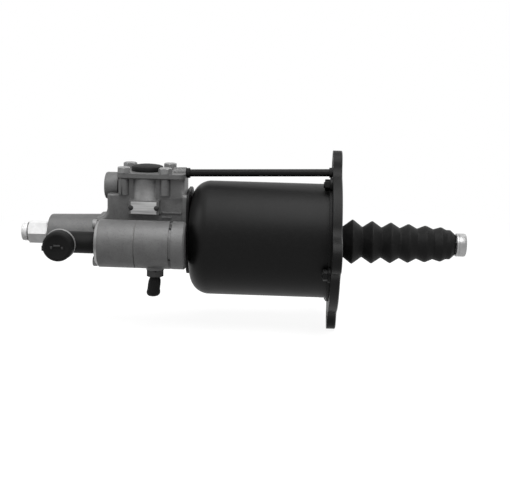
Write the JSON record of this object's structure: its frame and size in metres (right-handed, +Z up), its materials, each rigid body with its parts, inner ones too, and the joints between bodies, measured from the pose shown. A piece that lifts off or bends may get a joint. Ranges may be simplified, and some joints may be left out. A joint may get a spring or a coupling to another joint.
{
  "type": "clutch servo",
  "caption": "Hydro-pneumatic clutch servo: a cast hydraulic cylinder with a relay valve barrel, a round air cylinder behind a lobed flange, and a push rod in a bellows.",
  "frame": {"origin": "centre of the mounting face, on the push rod's axis", "axes": "+X along the push rod, the way it comes out; +Z up, towards the top cover; +Y away from the side barrel"},
  "size_m": [0.444, 0.181, 0.181],
  "materials": {
    "cast_aluminium": "as cast",
    "black_paint": "satin paint",
    "zinc_plate": "zinc plated",
    "dark_steel": "phosphated",
    "ground_steel": "ground",
    "spring_steel": "drawn",
    "black_rubber": "moulded",
    "black_plastic": "moulded",
    "gasket_fibre": "pressed fibre",
    "brass": "turned",
    "copper_washer": "soft metal",
    "bare_aluminium": "bare plate"
  },
  "bodies": {
    "servo_body": {"adapter_washer": "copper_washer", "bellows": "black_rubber", "bleed_cap": "black_rubber", "bleed_screw": "dark_steel", "breather_tube": "black_paint", "cylinder_base_plate": "black_paint", "cylinder_bolts": "dark_steel", "elbow_clamp_ring": "zinc_plate", "exhaust_cap": "black_plastic", "exhaust_elbow": "black_plastic", "flange_bolts": "black_paint", "flange_nuts": "black_paint", "guide_circlip": "dark_steel", "hydraulic_adapter": "zinc_plate", "main_housing": "cast_aluminium", "mounting_flange": "black_paint", "name_plate": "bare_aluminium", "plate_rivets": "dark_steel", "plunger_guide": "brass", "poppet_guide": "brass", "poppet_spring": "spring_steel", "preload_spring": "spring_steel", "relay_spring": "spring_steel", "servo_cylinder": "black_paint", "shank_seal": "black_rubber", "side_cover_gasket": "gasket_fibre", "side_cover_screws": "zinc_plate", "side_valve_cover": "cast_aluminium", "spigot_o_ring": "black_rubber", "top_cover": "cast_aluminium", "top_cover_bolts": "zinc_plate", "top_cover_gasket": "gasket_fibre", "tube_seals": "black_rubber", "valve_seat": "brass", "vent_flap": "black_rubber"},
    "servo_piston": {"servo_piston": "cast_aluminium", "piston_seal": "black_rubber", "guide_ring": "black_plastic", "hydraulic_plunger": "ground_steel", "plunger_seal": "black_rubber", "rod_seat": "black_plastic", "rod_retainer": "ground_steel"},
    "push_rod": {"push_rod": "ground_steel", "rod_tip": "zinc_plate"},
    "relay_piston": {"relay_piston": "ground_steel", "relay_seal": "black_rubber"},
    "inlet_poppet": {"inlet_poppet": "brass"}
  },
  "joints": [
    {"name": "servo_stroke", "type": "slide", "parent": "servo_body", "child": "servo_piston", "axis": [1, 0, 0], "range_m": [-0.07, 0], "stiffness_N_per_m": 600, "deforming": ["bellows", "preload_spring"]},
    {"name": "push_rod_swing", "type": "hinge", "parent": "servo_piston", "child": "push_rod", "pos_m": [-0.0523, 0, 0], "axis": [0, 1, 0], "range_deg": [-1.5, 1.5], "deforming": ["bellows"]},
    {"name": "relay_stroke", "type": "slide", "parent": "servo_body", "child": "relay_piston", "axis": [1, 0, 0], "range_m": [-0.003, 0], "stiffness_N_per_m": 1500, "deforming": ["relay_spring"]},
    {"name": "poppet_stroke", "type": "slide", "parent": "servo_body", "child": "inlet_poppet", "axis": [1, 0, 0], "range_m": [-0.002, 0], "stiffness_N_per_m": 1000, "deforming": ["poppet_spring"]}
  ],
  "couplings": [
    {"joint": "poppet_stroke", "follows": "relay_stroke", "ratio": 0.666}
  ]
}
